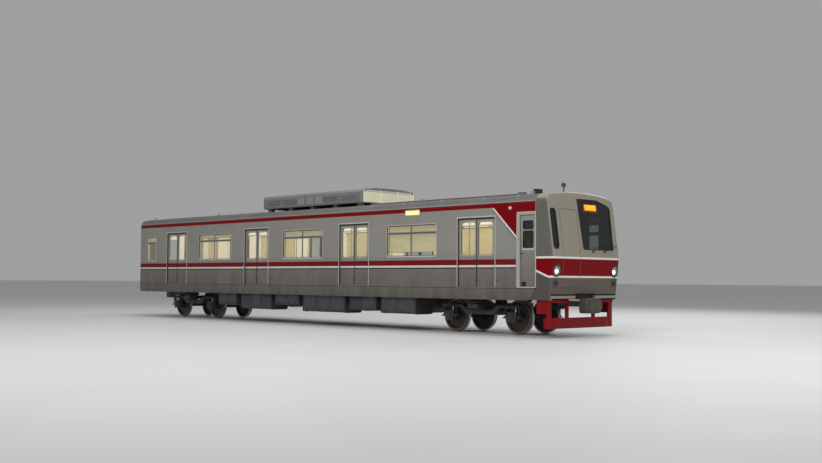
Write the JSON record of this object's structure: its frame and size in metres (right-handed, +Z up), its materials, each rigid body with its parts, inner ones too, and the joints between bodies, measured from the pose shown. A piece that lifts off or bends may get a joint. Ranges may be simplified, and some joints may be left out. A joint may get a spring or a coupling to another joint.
{
  "type": "metro lead car",
  "caption": "Lead car of a metro train with a raked cab front, sliding passenger doors, bogies, couplers and a roof-mounted air conditioner.",
  "frame": {"origin": "midway along the car, on its centre line, at the lowest point of the wheel flanges", "axes": "+X towards the cab, +Y to the car's left, +Z up"},
  "size_m": [20, 2.8, 4.148],
  "materials": {
    "body_silver": "brushed",
    "mask_grey": "satin",
    "frame_light": "satin",
    "roof_grey": "matt",
    "unit_grey": "satin",
    "glass": "clear",
    "glass_dark": "tinted",
    "lamp_glass": "clear",
    "lamp_red": "clear",
    "sign_lit": "lit",
    "lining_cream": "satin",
    "ceiling_white": "matt",
    "floor_grey": "matt",
    "steel_plain": "brushed",
    "steel_bright": "polished",
    "seat_cloth": "woven",
    "desk_grey": "satin",
    "underframe_black": "matt",
    "underframe_grey": "matt",
    "bogie_grey": "matt",
    "wheel_steel": "machined",
    "coupler_steel": "rough",
    "rubber_black": "matt",
    "guard_red": "satin",
    "step_grey": "satin"
  },
  "bodies": {
    "body": {"side_panels": "body_silver", "window_glass": "glass", "sill_panels": "body_silver", "cantrails": "body_silver", "side_linings": "lining_cream", "door_portals": "steel_plain", "roof": "roof_grey", "ceiling": "ceiling_white", "rear_wall": "body_silver", "gangway_bellows": "rubber_black", "floor": "floor_grey", "underframe": "underframe_black", "cab_front": "mask_grey", "cab_glass": "glass_dark", "headlamps": "lamp_glass", "tail_lamps": "lamp_red", "cab_door_frames": "frame_light", "bulkhead": "lining_cream", "cab_desk": "desk_grey", "driver_seat_base": "underframe_black", "driver_seat_pads": "seat_cloth", "destination_signs": "sign_lit", "seat_bases": "steel_plain", "seat_cushions": "seat_cloth", "handrails": "steel_bright", "roof_unit": "unit_grey", "roof_antennas": "underframe_black", "underfloor_boxes": "underframe_grey", "air_tanks": "underframe_black", "front_guard": "guard_red", "front_steps": "step_grey"},
    "front_bogie": {"bogie_frame_front": "bogie_grey", "bolster_front": "bogie_grey", "springs_front": "rubber_black", "axle_boxes_front": "bogie_grey"},
    "rear_bogie": {"bogie_frame_rear": "bogie_grey", "bolster_rear": "bogie_grey", "springs_rear": "rubber_black", "axle_boxes_rear": "bogie_grey"},
    "wheelset_1": {"wheelset_1": "wheel_steel"},
    "wheelset_2": {"wheelset_2": "wheel_steel"},
    "wheelset_3": {"wheelset_3": "wheel_steel"},
    "wheelset_4": {"wheelset_4": "wheel_steel"},
    "doors_left_forward": {"door_leaves_left_forward": "body_silver", "door_glass_left_forward": "glass"},
    "doors_left_rearward": {"door_leaves_left_rearward": "body_silver", "door_glass_left_rearward": "glass"},
    "doors_right_forward": {"door_leaves_right_forward": "body_silver", "door_glass_right_forward": "glass"},
    "doors_right_rearward": {"door_leaves_right_rearward": "body_silver", "door_glass_right_rearward": "glass"},
    "cab_door_left": {"cab_door_left": "body_silver", "cab_door_glass_left": "glass"},
    "cab_door_right": {"cab_door_right": "body_silver", "cab_door_glass_right": "glass"},
    "front_escape_door": {"front_escape_door": "mask_grey"},
    "gangway_door": {"gangway_door": "lining_cream"},
    "bulkhead_door": {"bulkhead_door": "lining_cream"},
    "coupler_front": {"coupler_front": "coupler_steel"},
    "coupler_rear": {"coupler_rear": "coupler_steel"}
  },
  "joints": [
    {"name": "front_bogie_yaw", "type": "hinge", "parent": "body", "child": "front_bogie", "pos_m": [6.9, 0, 0.928], "axis": [0, 0, 1], "range_deg": [-4, 4]},
    {"name": "rear_bogie_yaw", "type": "hinge", "parent": "body", "child": "rear_bogie", "pos_m": [-6.9, 0, 0.928], "axis": [0, 0, 1], "range_deg": [-4, 4]},
    {"name": "wheelset_1_roll", "type": "hinge", "parent": "front_bogie", "child": "wheelset_1", "pos_m": [8, 0, 0.458], "axis": [0, 1, 0], "continuous": true},
    {"name": "wheelset_2_roll", "type": "hinge", "parent": "front_bogie", "child": "wheelset_2", "pos_m": [5.8, 0, 0.458], "axis": [0, 1, 0], "continuous": true},
    {"name": "wheelset_3_roll", "type": "hinge", "parent": "rear_bogie", "child": "wheelset_3", "pos_m": [-5.8, 0, 0.458], "axis": [0, 1, 0], "continuous": true},
    {"name": "wheelset_4_roll", "type": "hinge", "parent": "rear_bogie", "child": "wheelset_4", "pos_m": [-8, 0, 0.458], "axis": [0, 1, 0], "continuous": true},
    {"name": "doors_left_open", "type": "slide", "parent": "body", "child": "doors_left_forward", "axis": [1, 0, 0], "range_m": [0, 0.65]},
    {"name": "doors_left_open_rearward", "type": "slide", "parent": "body", "child": "doors_left_rearward", "axis": [1, 0, 0], "range_m": [-0.65, 0]},
    {"name": "doors_right_open", "type": "slide", "parent": "body", "child": "doors_right_forward", "axis": [1, 0, 0], "range_m": [0, 0.65]},
    {"name": "doors_right_open_rearward", "type": "slide", "parent": "body", "child": "doors_right_rearward", "axis": [1, 0, 0], "range_m": [-0.65, 0]},
    {"name": "cab_door_left_swing", "type": "hinge", "parent": "body", "child": "cab_door_left", "pos_m": [9.199, 1.33, 2.128], "axis": [0, 0, 1], "range_deg": [0, 90]},
    {"name": "cab_door_right_swing", "type": "hinge", "parent": "body", "child": "cab_door_right", "pos_m": [9.199, -1.33, 2.128], "axis": [0, 0, -1], "range_deg": [0, 90]},
    {"name": "front_escape_door_drop", "type": "hinge", "parent": "body", "child": "front_escape_door", "pos_m": [9.67754, -0.61, 1.242], "axis": [0, 1, 0], "range_deg": [0, 120]},
    {"name": "gangway_door_slide", "type": "slide", "parent": "body", "child": "gangway_door", "axis": [0, -1, 0], "range_m": [0, 0.8]},
    {"name": "bulkhead_door_swing", "type": "hinge", "parent": "body", "child": "bulkhead_door", "pos_m": [8.565, -0.89, 2.128], "axis": [0, 0, 1], "range_deg": [0, 90]},
    {"name": "coupler_front_swing", "type": "hinge", "parent": "body", "child": "coupler_front", "pos_m": [8.9, 0, 0.828], "axis": [0, 0, 1], "range_deg": [-10, 10]},
    {"name": "coupler_rear_swing", "type": "hinge", "parent": "body", "child": "coupler_rear", "pos_m": [-8.9, 0, 0.828], "axis": [0, 0, 1], "range_deg": [-10, 10]}
  ],
  "couplings": [
    {"joint": "doors_left_open_rearward", "follows": "doors_left_open", "ratio": -1},
    {"joint": "doors_right_open_rearward", "follows": "doors_right_open", "ratio": -1}
  ]
}
